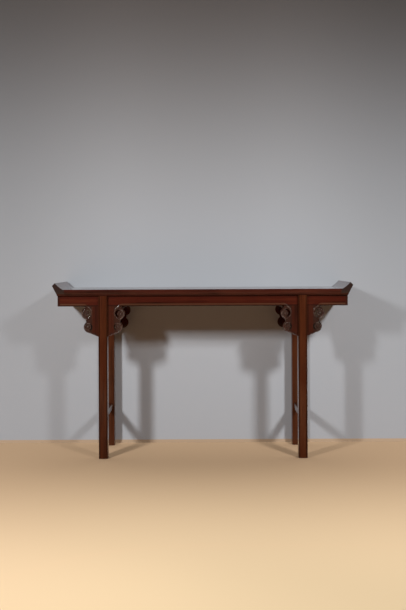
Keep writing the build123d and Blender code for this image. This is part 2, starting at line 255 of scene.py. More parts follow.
@dataclass(frozen=True)
class HardwoodFinish:
    """Figured hardwood under polished lacquer, or bare where the coat is 0.

    Colours are linear and lengths are in metres. A pair holds the values of a pattern at which
    an effect starts and is full, and a detail holds the octaves and the roughness of a noise.
    """

    name: str
    heart: Colour = (0.020, 0.0026, 0.0009)
    body: Colour = (0.053, 0.0072, 0.0012)
    pale: Colour = (0.088, 0.0165, 0.0030)
    worn: Colour = (0.130, 0.0360, 0.0130)
    end_grain: Colour = (0.030, 0.0160, 0.0130)
    # Crest colour: a painted highlight, partly rubbed wear, laid where the light tone is.
    crest: Colour = (0.100, 0.0420, 0.0200)
    # Colour of dust and painted shade, laid in hollows and where the shade tone is.
    dirt: Colour = (0.005, 0.0020, 0.0011)
    base_roughness: float = 0.28
    streak_roughness: float = 0.16
    rubbed_roughness: float = 0.25
    specular: float = 0.03
    coat: float = 1.0
    coat_roughness: float = 0.08
    coat_ior: float = 1.27
    streak_stretch: float = 22.0
    streaks_per_metre: float = 46.0
    streak_detail: Pair = (5.0, 0.62)
    heart_streaks: Pair = (0.30, 0.50)
    pale_streaks: Pair = (0.52, 0.74)
    clouds_per_metre: float = 7.0
    pale_clouds: Pair = (0.40, 0.75)
    cloud_share: float = 0.35
    ripple_depth: float = 0.05 * MM
    pores_per_metre: float = 900.0
    pore_detail: Pair = (2.0, 0.6)
    open_pores: Pair = (0.60, 0.72)
    pore_share: float = 0.55
    pore_depth: float = 0.05 * MM
    pore_strength: float = 0.6
    cut_faces: Pair = (0.80, 0.97)
    edge_radius: float = 2.4 * MM
    edge_samples: int = 6
    rubbed_edges: Pair = (0.985, 0.80)
    rubbed_clouds: Pair = (0.35, 0.65)
    wear: float = 0.55
    # How strongly the painted highlight is laid on crests, and how it breaks into patches.
    crest_share: float = 0.8
    crest_patchiness: float = 0.0
    patches_per_metre: float = 150.0
    pale_patches: Pair = (0.38, 0.62)
    # The reach and strength of dust and painted shade in hollows.
    hollow_reach: float = 9.0 * MM
    hollow_samples: int = 8
    closed_hollows: Pair = (0.92, 0.35)
    hollow_shade: float = 0.75

    def material(self, grain: Grain) -> bpy.types.Material:
        """Builds the material for boards whose grain runs one way, or finds it if it is made.

        Args:
            grain: The axis that the grain runs along.

        Returns:
            The material.
        """
        name = f"{self.name}_{grain.label}"
        made = bpy.data.materials.get(name)
        if not made:
            made = bpy.data.materials.new(name)
            WoodRecipe(made, self, grain).paint()
        return made


class WoodRecipe(Recipe):
    """The node tree of a hardwood finish on boards whose grain runs one way."""

    def __init__(self, owner: Any, finish: HardwoodFinish, grain: Grain) -> None:
        """Lays out the patterns that the wood is painted with.

        Args:
            owner: The material whose tree is built.
            finish: The finish to paint.
            grain: The axis that the grain runs along.
        """
        super().__init__(owner)
        self.finish = finish
        self.grain = grain
        shift = self.times(self.add("ObjectInfo").outputs["Random"], PIECE_SHIFT)
        drawn = self.stretched(finish.streaks_per_metre, shift)
        self.streaks = self.noise(drawn, 1.0, *finish.streak_detail)
        self.clouds = self.noise(self.place(), finish.clouds_per_metre)
        fine = self.noise(self.stretched(finish.pores_per_metre), 1.0, *finish.pore_detail)
        self.pores = self.ramp(fine, *finish.open_pores)
        self.wear = self.rubbed_edges()
        self.hollows = self.dusty_hollows()

    def stretched(self, per_metre: float, shift: Any = (0.0, 0.0, 0.0)) -> Any:
        """Draws the wood's coordinates out along the grain.

        Args:
            per_metre: How often a pattern repeats in a metre across the grain.
            shift: How far the pattern is moved.

        Returns:
            The coordinates' socket.
        """
        scale = [per_metre] * 3
        scale[self.grain.value] /= self.finish.streak_stretch
        inputs = {"Vector": self.place(), "Location": shift, "Scale": scale}
        return self.add("Mapping", inputs).outputs["Vector"]

    def tone(self, tone: Tone) -> Any:
        """Reads a shade that the mesh carries."""
        return self.add("Attribute", attribute_name=tone.value).outputs["Fac"]

    def figure(self) -> Any:
        """Colours the wood from its streaks, its broad mottling and its pores.

        Returns:
            The colour's socket.
        """
        wood = self.finish
        dark = self.blend(self.ramp(self.streaks, *wood.heart_streaks), wood.heart, wood.body)
        warm = self.blend(self.ramp(self.streaks, *wood.pale_streaks), dark, wood.pale)
        mottled = self.blend(self.ramp(self.clouds, *wood.pale_clouds), warm, wood.pale)
        mixed = self.blend(wood.cloud_share, warm, mottled)
        return self.blend(self.times(self.pores, wood.pore_share), mixed, wood.heart)

    def cut_faces(self) -> Any:
        """Finds the faces that cut across the grain, as a 0 to 1 mask."""
        across = self.maths("ABSOLUTE", self.axes("Normal")[self.grain.value])
        return self.ramp(across, *self.finish.cut_faces)

    def rubbed_edges(self) -> Any:
        """Finds the edges where the lacquer has rubbed thin, in patches.

        Returns:
            The socket of a 0 to 1 mask.
        """
        wood = self.finish
        soft = self.add("Bevel", {"Radius": wood.edge_radius}, samples=wood.edge_samples)
        normals = {0: soft.outputs["Normal"], 1: self.add("NewGeometry").outputs["Normal"]}
        aligned = self.add("VectorMath", normals, operation="DOT_PRODUCT").outputs["Value"]
        edge = self.ramp(aligned, *wood.rubbed_edges)
        patchy = self.ramp(self.clouds, *wood.rubbed_clouds)
        return self.times(self.times(edge, patchy), wood.wear)

    def paled_crests(self) -> Any:
        """Finds the crests that carry a painted highlight, with some rubbed wear, in patches.

        Returns:
            The socket of a 0 to 1 mask.
        """
        wood = self.finish
        patches = self.noise(self.place(), wood.patches_per_metre)
        held = self.times(self.ramp(patches, *wood.pale_patches), wood.crest_patchiness)
        share = self.maths("ADD", held, 1.0 - wood.crest_patchiness)
        return self.times(self.times(self.tone(Tone.CREST), wood.crest_share), share)

    def dusty_hollows(self) -> Any:
        """Finds the hollows that carry dust and painted shade.

        Returns:
            The socket of a 0 to 1 mask.
        """
        wood = self.finish
        inputs = {"Distance": wood.hollow_reach}
        samples = wood.hollow_samples
        shade = self.add("AmbientOcclusion", inputs, samples=samples, only_local=True)
        closed = self.ramp(shade.outputs["AO"], *wood.closed_hollows)
        deepest = self.maths("MAXIMUM", closed, self.tone(Tone.HOLLOW))
        return self.times(deepest, wood.hollow_shade)

    def roughness(self) -> Any:
        """Roughens the wood under its coat along streaks, worn edges and hollows.

        Returns:
            The roughness's socket.
        """
        wood = self.finish
        smears = self.times(self.streaks, wood.streak_roughness)
        base = self.maths("ADD", smears, wood.base_roughness)
        rubbed = self.times(self.maths("ADD", self.wear, self.hollows), wood.rubbed_roughness)
        return self.maths("ADD", base, rubbed, clamp=True)

    def relief(self) -> Any:
        """Sinks the pores and lets the polished surface ripple a little.

        Returns:
            The normal's socket.
        """
        wood = self.finish
        ripple = {"Height": self.clouds, "Distance": wood.ripple_depth, "Strength": 1.0}
        sunk = {
            "Height": self.pores,
            "Distance": wood.pore_depth,
            "Strength": wood.pore_strength,
            "Normal": self.add("Bump", ripple).outputs["Normal"],
        }
        return self.add("Bump", sunk, invert=True).outputs["Normal"]

    def paint(self) -> None:
        """Colours the wood, lays wear, dust, painted highlight and painted shade over it, and
        coats it.
        """
        wood = self.finish
        colour = self.figure()
        for share, tint in (
            (self.cut_faces(), wood.end_grain),
            (self.wear, wood.worn),
            (self.paled_crests(), wood.crest),
            (self.hollows, wood.dirt),
        ):
            colour = self.blend(share, colour, tint)
        inputs = {
            "Base Color": colour,
            "Roughness": self.roughness(),
            "Normal": self.relief(),
            "Specular IOR Level": wood.specular,
            "Coat Weight": wood.coat,
            "Coat Roughness": wood.coat_roughness,
            "Coat IOR": wood.coat_ior,
        }
        self.show(self.add("BsdfPrincipled", inputs))


TOP_LACQUER = HardwoodFinish("top_lacquer", coat=0.86)
FRAME_LACQUER = HardwoodFinish(
    "frame_lacquer",
    heart=(0.018, 0.0035, 0.0016),
    body=(0.052, 0.0093, 0.0052),
    pale=(0.086, 0.0215, 0.0110),
)
APRON_LACQUER = HardwoodFinish(
    "apron_lacquer",
    heart=(0.020, 0.0028, 0.0012),
    body=(0.052, 0.0065, 0.0030),
    pale=(0.084, 0.0145, 0.0055),
    end_grain=(0.036, 0.0080, 0.0045),
)
LEG_LACQUER = HardwoodFinish(
    "leg_lacquer",
    heart=(0.020, 0.0036, 0.0015),
    body=(0.065, 0.0142, 0.0042),
    pale=(0.105, 0.0300, 0.0098),
    coat=0.75,
)
STRETCHER_LACQUER = replace(LEG_LACQUER, name="stretcher_lacquer", coat=1.0, coat_ior=1.5)
CARVED_LACQUER = HardwoodFinish(
    "carved_lacquer",
    heart=(0.018, 0.0026, 0.0010),
    body=(0.046, 0.0080, 0.0038),
    pale=(0.073, 0.0170, 0.0075),
    # Painted shade darkens the carved ground, and the pale crest colour paints glints on the ribs,
    # with some dust and wear.
    dirt=(0.0120, 0.0105, 0.0080),
    crest=(0.235, 0.2000, 0.1700),
    crest_patchiness=0.85,
    crest_share=0.90,
    hollow_shade=0.95,
    hollow_reach=8.0 * MM,
    coat_ior=1.32,
)
BARE_WOOD = HardwoodFinish(
    "bare_wood",
    heart=(0.060, 0.022, 0.010),
    body=(0.130, 0.055, 0.026),
    pale=(0.210, 0.100, 0.050),
    worn=(0.240, 0.130, 0.070),
    end_grain=(0.070, 0.030, 0.015),
    base_roughness=0.47,
    coat=0.0,
)


# ---- Mesh drafting ------------------------------------------------------------------------


class Draft:
    """A closed mesh under construction in the quarter where X and Y are positive."""

    def __init__(self) -> None:
        """Starts an empty mesh that can carry every tone."""
        self.mesh = bmesh.new()
        for tone in Tone:
            self.mesh.verts.layers.float.new(tone.value)

    def corners(self, places: Sequence[Sequence[float]]) -> list[Any]:
        """Adds a vertex at each place."""
        return [self.mesh.verts.new(place) for place in places]

    def skin(self, rings: Sequence[Sequence[Any]]) -> None:
        """Joins closed rings of vertices with faces.

        Args:
            rings: The rings, all as long as each other.
        """
        for lower, upper in zip(rings, rings[1:]):
            for i in range(len(lower)):
                j = (i + 1) % len(lower)
                self.mesh.faces.new((lower[i], lower[j], upper[j], upper[i]))

    def loft(self, rings: Sequence[Sequence[Sequence[float]]]) -> None:
        """Skins closed rings of places and caps both ends.

        Args:
            rings: The places of each ring.
        """
        made = [self.corners(ring) for ring in rings]
        self.skin(made)
        self.mesh.faces.new(list(reversed(made[0])))
        self.mesh.faces.new(made[-1])

    def soften(self, radius: float, angle: float = SHARP) -> None:
        """Merges vertices that touch and rounds every edge that is sharper than an angle.

        Args:
            radius: The width of the rounding.
            angle: The smallest angle that is rounded, in degrees.
        """
        bmesh.ops.remove_doubles(self.mesh, verts=self.mesh.verts, dist=TOUCHING)
        bmesh.ops.recalc_face_normals(self.mesh, faces=self.mesh.faces)
        limit = math.radians(angle)
        sharp = [e for e in self.mesh.edges if e.is_manifold and e.calc_face_angle() > limit]
        bmesh.ops.bevel(
            self.mesh,
            geom=sharp,
            offset=radius,
            segments=ROUNDING_STEPS,
            profile=0.5,
            affect="EDGES",
            clamp_overlap=True,
        )
        bmesh.ops.dissolve_degenerate(self.mesh, edges=self.mesh.edges, dist=TOUCHING)

    def tint(self, tone: Tone, vertices: Sequence[Any], shades: Sequence[float]) -> None:
        """Gives each vertex its own shade.

        Args:
            tone: The tone that is set.
            vertices: The vertices.
            shades: Their shades.
        """
        layer = self.mesh.verts.layers.float[tone.value]
        for vertex, shade in zip(vertices, shades):
            vertex[layer] = shade

    def shade(self, tone: Tone, rule: Callable[[Vector], float]) -> None:
        """Gives each vertex a shade that depends on its place."""
        self.tint(tone, self.mesh.verts, [rule(vertex.co) for vertex in self.mesh.verts])

    def piece(
        self,
        node: str,
        finish: HardwoodFinish,
        grain: Grain,
        signs: tuple[int, int] = (1, 1),
    ) -> None:
        """Turns the draft into a piece that stands for a node of the frame.

        Args:
            node: The node that the piece replaces.
            finish: The piece's finish.
            grain: The way its grain runs.
            signs: The signs of X and Y in the quarter that it is mirrored into.
        """
        bmesh.ops.scale(self.mesh, vec=(*signs, 1), verts=self.mesh.verts)
        bmesh.ops.recalc_face_normals(self.mesh, faces=self.mesh.faces)
        data = bpy.data.meshes.new(node + "_dressed")
        self.mesh.to_mesh(data)
        self.mesh.free()
        data.polygons.foreach_set("use_smooth", [True] * len(data.polygons))
        data.set_sharp_from_angle(angle=math.radians(SMOOTH))
        data.materials.append(finish.material(grain))
        made = put_in_scene(node + "_dressed", data)
        weights = made.modifiers.new("even_shading", "WEIGHTED_NORMAL")
        weights.keep_sharp = True
        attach(made, "root")
        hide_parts(node)
        LOG.info("%s: %d faces", made.name, len(data.polygons))


def arc(
    centre: Sequence[float], radius: float, start: float, stop: float, steps: int
) -> list[Pair]:
    """Points on an arc.

    Args:
        centre: The arc's centre.
        radius: Its radius.
        start: Its first angle in degrees.
        stop: Its last angle in degrees.
        steps: How many spans it is divided into.

    Returns:
        The points.
    """
    angles = np.radians(np.linspace(start, stop, steps + 1))
    across, up = centre[0] + radius * np.cos(angles), centre[1] + radius * np.sin(angles)
    return list(zip(across, up))


def smooth_path(points: Sequence[Sequence[float]], steps: int = 12) -> Path:
    """A Catmull-Rom curve through points.

    Args:
        points: The points that it passes through.
        steps: How many spans lie between two of them.

    Returns:
        The points of the curve, one a row.
    """
    knots = np.array(points, float)
    knots = np.vstack((2 * knots[0] - knots[1], knots, 2 * knots[-1] - knots[-2]))
    share = np.linspace(0, 1, steps, endpoint=False)[:, None]
    spans = []
    for before, a, b, after in zip(knots, knots[1:], knots[2:], knots[3:]):
        linear = (b - before) * share
        square = (2 * before - 5 * a + 4 * b - after) * share**2
        cube = (3 * a - before - 3 * b + after) * share**3
        spans.append(0.5 * (2 * a + linear + square + cube))
    return np.vstack((*spans, knots[-2]))


def shifted(path: Path, amount: float) -> Path:
    """Moves an open path sideways.

    Args:
        path: The path, one point a row.
        amount: How far it moves, to the right of its direction when positive.

    Returns:
        The moved path.
    """
    along = np.gradient(path, axis=0)
    along /= np.maximum(np.linalg.norm(along, axis=1, keepdims=True), TINY)
    return path + amount * np.column_stack((along[:, 1], -along[:, 0]))


def nearest(points: Path, path: Path) -> tuple[np.ndarray, np.ndarray]:
    """Measures how far points lie from a path.

    Args:
        points: The points, one a row.
        path: The path's points, one a row.

    Returns:
        Each point's distance from the path, and how far along the path it is nearest, 0 to 1.
    """
    starts, spans = path[:-1], np.diff(path, axis=0)
    lengths = np.maximum(np.linalg.norm(spans, axis=1), TINY)
    before = np.concatenate(([0.0], np.cumsum(lengths)))
    offsets = points[:, None, :] - starts[None]
    shares = np.clip((offsets * spans[None]).sum(2) / lengths**2, 0, 1)
    gaps = np.linalg.norm(offsets - shares[..., None] * spans[None], axis=2)
    best = gaps.argmin(1)
    rows = np.arange(len(points))
    return gaps[rows, best], (before[best] + shares[rows, best] * lengths[best]) / before[-1]


def inside(points: Path, outline: Path) -> np.ndarray:
    """Tells which points lie inside a closed outline.

    Args:
        points: The points, one a row.
        outline: The outline's points, one a row.

    Returns:
        True for each point inside.
    """
    x, y = points[:, 0, None], points[:, 1, None]
    x0, y0 = outline[:, 0], outline[:, 1]
    x1, y1 = np.roll(x0, -1), np.roll(y0, -1)
    rises = (y0 > y) != (y1 > y)
    with np.errstate(divide="ignore", invalid="ignore"):
        crossing = (x1 - x0) * (y - y0) / (y1 - y0) + x0
    return (rises & (x < crossing)).sum(1) % 2 == 1


def distance(points: Path, place: Pair) -> np.ndarray:
    """How far each point lies from a place."""
    return np.linalg.norm(points - np.array(place), axis=1)


def fade(values: np.ndarray, start: float, stop: float) -> np.ndarray:
    """A smooth step from 0 at start to 1 at stop."""
    share = np.clip((values - start) / (stop - start), 0, 1)
    return share * share * (3 - 2 * share)


def bulge(gaps: np.ndarray, radius: Any) -> np.ndarray:
    """A parabola that falls from 1 in the middle to 0 at a radius."""
    return np.clip(1 - (gaps / radius) ** 2, 0, 1)


def rounding(gaps: np.ndarray, radius: float) -> np.ndarray:
    """How far a rounded edge has fallen at distances from it."""
    near = np.clip(radius - gaps, 0, radius)
    return radius - np.sqrt(radius**2 - near**2)


# ---- Shared places ------------------------------------------------------------------------


@dataclass(frozen=True)
class Places:
    """Places that several sub-assemblies share, read from the frame."""

    half_length: float
    half_depth: float
    tip: float
    top: float
    underside: float
    corner_x: float
    panel_x: float
    panel_y: float
    leg_x: Pair
    leg_y: Pair
    apron_y: Pair
    apron_low: float
    end_apron_x: Pair
    fork_foot: float

    @classmethod
    def from_frame(cls) -> Places:
        """Reads the places from the frame's nodes.

        Returns:
            The places.
        """
        _, high = cad_box
        rail_low, rail_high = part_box("back_rail")
        leg_low, leg_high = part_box("back_right_leg")
        end_low, end_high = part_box("right_end_apron")
        apron_low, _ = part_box("back_apron")
        board_low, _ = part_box("back_right_outer_spandrel")
        return cls(
            half_length=high.x,
            half_depth=high.y,
            tip=high.z,
            top=rail_high.z,
            underside=rail_low.z,
            corner_x=rail_high.x,
            panel_x=rail_high.x - (rail_high.y - rail_low.y),
            panel_y=rail_low.y,
            leg_x=(leg_low.x, leg_high.x),
            leg_y=(leg_low.y, leg_high.y),
            apron_y=(apron_low.y, end_high.y),
            apron_low=end_low.z,
            end_apron_x=(end_low.x, end_high.x),
            fork_foot=board_low.z,
        )


# ---- Top ----------------------------------------------------------------------------------


@dataclass
class FramedTop:
    """The mitred frame of the top, its upturned ends and the floating panel."""

    places: Places
    belly_height: float = 18 * MM
    belly_fall: float = 10 * MM
    belly_steps: int = 10
    arris: float = 2.2 * MM
    arris_steps: int = 5
    seam: float = 0.35 * MM
    ramp_start: float = 6 * MM
    ramp_sag: float = 2.5 * MM
    ramp_steps: int = 14
    tip_run: float = 13 * MM
    tip_drop: float = 13 * MM
    heel_run: float = 2 * MM
    heel_height: float = 9 * MM
    edge: float = 0.5 * MM

    def belly(self, height: float) -> float:
        """How far the moulded edge has fallen back at a height above the underside."""
        radius = (self.belly_fall**2 + self.belly_height**2) / (2 * self.belly_fall)
        return radius - math.sqrt(radius**2 - max(self.belly_height - height, 0.0) ** 2)

    def moulding(self) -> list[Pair]:
        """The section of a long rail.

        Returns:
            The section's corners in Y and Z.
        """
        p, r = self.places, self.arris
        outline = [(p.panel_y, p.underside), (p.panel_y, p.top)]
        outline += arc((p.half_depth - r, p.top - r), r, 90, 0, self.arris_steps)
        for i in range(self.belly_steps + 1):
            height = self.belly_height * (1 - i / self.belly_steps)
            outline.append((p.half_depth - self.belly(height), p.underside + height))
        return outline

    def make_rail(self, face: Face) -> None:
        """Builds a long rail with its mitred ends.

        Args:
            face: The side that it runs along.
        """
        p = self.places
        rings = []
        for side in (-1, 1):
            mitred = [(side * (p.corner_x - (p.half_depth - y)), y, z) for y, z in self.moulding()]
            rings.append(mitred)
        draft = Draft()
        draft.loft(rings)
        draft.soften(self.edge)
        node = f"{face.label}_rail"
        draft.piece(node, FRAME_LACQUER, Grain.LENGTHWISE, face.value)

    def outer_face(self, z: float) -> float:
        """Where the outer face of an end board stands.

        Args:
            z: The height above the floor, from the underside up to the flange's nose.

        Returns:
            The face's X.
        """
        p = self.places
        heel_x, heel_z = p.end_apron_x[1] + self.heel_run, p.underside + self.heel_height
        nose_z = p.tip - self.tip_drop
        if z <= heel_z:
            return p.end_apron_x[1] + self.heel_run * ((z - p.underside) / self.heel_height)
        share = min((z - heel_z) / (nose_z - heel_z), 1.0)
        return heel_x + (p.half_length - heel_x) * share

    def ramp(self) -> Path:
        """The hollow inner face of the flange.

        Returns:
            Its points from the foot to the tip, in X and Z.
        """
        p = self.places
        foot = np.array((p.corner_x + self.ramp_start, p.top))
        tip = np.array((p.half_length - self.tip_run, p.tip))
        share = np.linspace(0, 1, self.ramp_steps + 1)[:, None]
        line = foot + (tip - foot) * share
        sag = self.ramp_sag * 4 * share * (1 - share)
        return line - np.hstack((np.zeros_like(sag), sag))

    def make_end_board(self, end: End) -> None:
        """Builds an end board: the mitred end of the frame and the flange that turns up from it.

        Args:
            end: The end that it closes.
        """
        p = self.places
        draft = Draft()
        ramp = self.ramp()
        heights = [self.belly_height * i / self.belly_steps for i in range(self.belly_steps + 1)]
        heights.append(p.top - p.underside)
        rings = []
        for height in heights:
            half = p.half_depth - self.belly(height)
            mitre_x = p.corner_x - (p.half_depth - half)
            z = p.underside + height
            outer = self.outer_face(z)
            quarter = [(p.panel_x, p.panel_y), (mitre_x, half), (ramp[0, 0], half), (outer, half)]
            far = [(x, y, z) for x, y in quarter]
            near = [(x, -y, z) for x, y in reversed(quarter)]
            rings.append(draft.corners(far + near))
        draft.skin(rings)
        draft.mesh.faces.new(list(reversed(rings[0])))
        level = rings[-1]
        draft.mesh.faces.new([*level[7:], *level[:3], *level[5:7]])
        flange = [level[2:6]]
        for x, z in ramp[1:]:
            outer_z = min(z, p.tip - self.tip_drop)
            outer = self.outer_face(outer_z)
            far = [(x, p.half_depth, z), (outer, p.half_depth, outer_z)]
            flange.append(draft.corners(far + [(x, -y, z) for x, y, z in reversed(far)]))
        draft.skin(flange)
        draft.mesh.faces.new(flange[-1])
        draft.soften(self.edge)
        node = f"{end.label}_end_board"
        draft.piece(node, FRAME_LACQUER, Grain.CROSSWISE, end.value)

    def make_panel(self, node: str) -> None:
        """Builds the panel, a hair's breadth clear of the frame round it.

        Args:
            node: The node that it replaces.
        """
        low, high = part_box(node)
        x, y = self.places.panel_x - self.seam, self.places.panel_y - self.seam
        outline = [(-x, -y), (x, -y), (x, y), (-x, y)]
        draft = Draft()
        draft.loft([[(a, b, z) for a, b in outline] for z in (low.z, high.z)])
        draft.soften(self.edge)
        draft.piece(node, TOP_LACQUER, Grain.LENGTHWISE)

    def build(self) -> None:
        """Builds every piece of the top."""
        self.make_panel("top_panel")
        for face in Face:
            self.make_rail(face)
        for end in End:
            self.make_end_board(end)


# ---- Legs ---------------------------------------------------------------------------------


@dataclass
class LegPair:
    """The legs, with their beaded faces and forked tops, and the stretchers between them."""

    places: Places
    corner: float = 1.4 * MM
    corner_steps: int = 4
    bead_width: float = 3.8 * MM
    bead_stop: float = 10.0
    bead_lean: float = 0.2
    bead_shade: float = 0.35
    quirk_width: float = 1.3 * MM
    quirk_depth: float = 2.8 * MM
    quirk_slack: float = 0.8 * MM
    quirk_reach: float = 2.2
    field_start: float = 1.6
    field_drop: float = 1.7 * MM
    field_steps: int = 8
    crown: float = 1.3 * MM
    face_depth: float = 6 * MM
    back_round: float = 2 * MM
    back_steps: int = 3
    back_paleness: float = 0.25
    play: float = 0.1 * MM
    edge: float = 0.35 * MM
    sharp: float = 50.0
    stretcher_round: float = 5 * MM
    stretcher_steps: int = 4
    stretcher_shade: float = 0.95
    stretcher_top: float = 0.4

    def outer_face(self) -> list[Pair]:
        """The moulded outer face across a leg, in X and Y, from its inboard side.

        Returns:
            A bead along each edge, a quirk beside it, and a crowned field between the quirks.
        """
        left, right = self.places.leg_x
        front = self.places.leg_y[1]
        middle = (left + right) / 2
        r = self.corner
        bead_end = left + self.bead_width
        half = arc((left + r, front - r), r, 180, 90, self.corner_steps)
        half += arc((bead_end - r, front - r), r, 90, self.bead_stop, self.corner_steps)
        half.append((bead_end + self.bead_lean * r, front - self.quirk_depth))
        half.append((bead_end + self.quirk_width, front - self.quirk_depth))
        start = bead_end + self.field_start * self.quirk_width
        reach = middle - start
        for i in range(self.field_steps + 1):
            share = i / self.field_steps
            rise = self.crown * (1 - (1 - share) ** 2)
            half.append((start + reach * share, front - self.field_drop + rise))
        return half + [(2 * middle - x, y) for x, y in reversed(half[:-1])]

    def make_leg(self, quarter: Quarter) -> None:
        """Builds a leg.

        Args:
            quarter: Where it stands.
        """
        p = self.places
        left, right = p.leg_x
        r, back = self.back_round, p.leg_y[0] + self.back_round
        far, near = p.apron_y[1] + self.play, p.apron_y[0] - self.play
        prong = [(left, far), *self.outer_face(), (right, far)]
        heel = [(right, near), *arc((right - r, back), r, 0, -90, self.back_steps)]
        heel += [*arc((left + r, back), r, -90, -180, self.back_steps), (left, near)]
        draft = Draft()
        foot, fork = [
            draft.corners([(x, y, z) for x, y in prong + heel]) for z in (0.0, p.fork_foot)
        ]
        draft.skin([foot, fork])
        draft.mesh.faces.new(list(reversed(foot)))
        count = len(prong)
        for lower in (fork[:count], fork[count:]):
            upper = draft.corners([(v.co.x, v.co.y, p.underside) for v in lower])
            draft.skin([lower, upper])
            draft.mesh.faces.new(upper)
        draft.mesh.faces.new((fork[0], fork[count - 1], fork[count], fork[-1]))
        draft.soften(self.edge, self.sharp)
        # Painted shade in the quirks and on the beads.
        draft.shade(Tone.HOLLOW, self.quirk_shade)
        # The back legs carry painted light, which lightens them all over.
        if quarter in (Quarter.BACK_LEFT, Quarter.BACK_RIGHT):
            draft.shade(Tone.CREST, lambda place: self.back_paleness)
        node = f"{quarter.label}_leg"
        draft.piece(node, LEG_LACQUER, Grain.UPRIGHT, quarter.value)

    def quirk_shade(self, place: Vector) -> float:
        """Paints shade into the quirks, and a little onto the beads beside them.

        Args:
            place: A place on the leg.

        Returns:
            How dark it is, 0 to 1.
        """
        left, right = self.places.leg_x
        depth = self.places.leg_y[1] - place.y
        inset = min(place.x - left, right - place.x)
        reach = self.bead_width + self.quirk_reach * self.quirk_width
        if depth > self.face_depth or inset > reach:
            return 0.0
        return 1.0 if depth > self.quirk_depth - self.quirk_slack else self.bead_shade

    def make_stretcher(self, end: End) -> None:
        """Builds the stretcher between the legs at one end.

        Args:
            end: The end that it stands at.
        """
        node = f"{end.label}_stretcher"
        low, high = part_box(node)
        r = self.stretcher_round
        run, rise = (high.x - low.x) / 2 - r, (high.z - low.z) / 2 - r
        middle_x, middle_z = sum(self.places.leg_x) / 2, (high.z + low.z) / 2
        section = []
        for turn, (sx, sz) in enumerate(((1, 1), (-1, 1), (-1, -1), (1, -1))):
            centre = (middle_x + sx * run, middle_z + sz * rise)
            section += arc(centre, r, 90 * turn, 90 * turn + 90, self.stretcher_steps)
        shoulder = self.places.leg_y[0]
        crown = high.z - self.stretcher_top * r
        draft = Draft()
        draft.loft([[(x, y, z) for x, z in section] for y in (-shoulder, shoulder)])
        # Painted shade darkens the top face of each stretcher.
        draft.shade(Tone.HOLLOW, lambda q: self.stretcher_shade if q.z > crown else 0.0)
        draft.piece(node, STRETCHER_LACQUER, Grain.CROSSWISE, end.value)

    def build(self) -> None:
        """Builds all four legs and both stretchers."""
        for quarter in Quarter:
            self.make_leg(quarter)
        for end in End:
            self.make_stretcher(end)


# ---- Carving ------------------------------------------------------------------------------


@dataclass(frozen=True)
class Ridge:
    """A raised rib of the carving, in millimetres: its path, its half width and its height.

    A pair gives the value at the start of the path and at its end.
    """

    path: Path
    width: Pair
    height: Pair

    def crest(self, points: Path, ground: np.ndarray) -> np.ndarray:
        """The height of the carving where the rib crosses it.

        Args:
            points: Places in u and v, one a row.
            ground: The height of the carving without the rib.

        Returns:
            The height with the rib.
        """
        gap, share = nearest(points, self.path)
        width = self.width[0] + (self.width[1] - self.width[0]) * share
        height = self.height[0] + (self.height[1] - self.height[0]) * share
        raised = ground + (height - ground) * np.sqrt(bulge(gap, width))
        return np.where(gap < width, np.maximum(ground, raised), ground)


@dataclass(frozen=True)
class Lobe:
    """A round lobe of the cloud, in millimetres and degrees.

    Its rim is an arc, and a scroll winds in from the rim to an eye on a low boss. A crescent is
    cut between a circle and the core that bites into it.
    """

    middle: Pair
    radius: float
    span: Pair
    steps: int
    eye: Pair
    boss: float
    cut: Pair
    cut_radius: float
    core: Pair
    core_radius: float = 17.0
    eye_radius: float = 4.0
    rim_inset: float = 2.4
    scroll_start: float = 75.0
    scroll_turns: float = 1.1
    scroll_steps: int = 90
    cut_steps: int = 30
    core_steps: int = 26

    def rim(self) -> list[Pair]:
        """The lobe's share of the cloud's edge."""
        return arc(self.middle, self.radius, *self.span, self.steps)

    def scroll(self) -> Path:
        """A curve that begins as the lobe's rim and winds in to its eye.

        Returns:
            The points of the curve, one a row.
        """
        share = np.linspace(0, 1, self.scroll_steps)
        angle = np.radians(self.scroll_start - 360 * self.scroll_turns * share)
        start = self.radius - self.rim_inset
        reach = start + (self.eye_radius - start) * share
        u, v = (a + (b - a) * share for a, b in zip(self.middle, self.eye))
        return np.column_stack((u + reach * np.cos(angle), v + reach * np.sin(angle)))

    def crescent(self) -> Path:
        """The crescent between the cut's circle and the core.

        Returns:
            The crescent's outline, one point a row.
        """
        apart = math.dist(self.cut, self.core)
        across, down = self.core[0] - self.cut[0], self.core[1] - self.cut[1]
        lean = math.degrees(math.atan2(down, across))
        reach = (apart**2 + self.cut_radius**2 - self.core_radius**2) / (2 * apart)
        outer = math.degrees(math.acos(reach / self.cut_radius))
        inner = math.degrees(math.acos((reach - apart) / self.core_radius))
        start, stop = lean + outer, lean + 360 - outer
        back = arc(self.cut, self.cut_radius, start, stop, self.cut_steps)
        start, stop = lean + 360 - inner, lean + inner
        front = arc(self.core, self.core_radius, start, stop, self.core_steps)
        return np.array(back + front[1:-1])


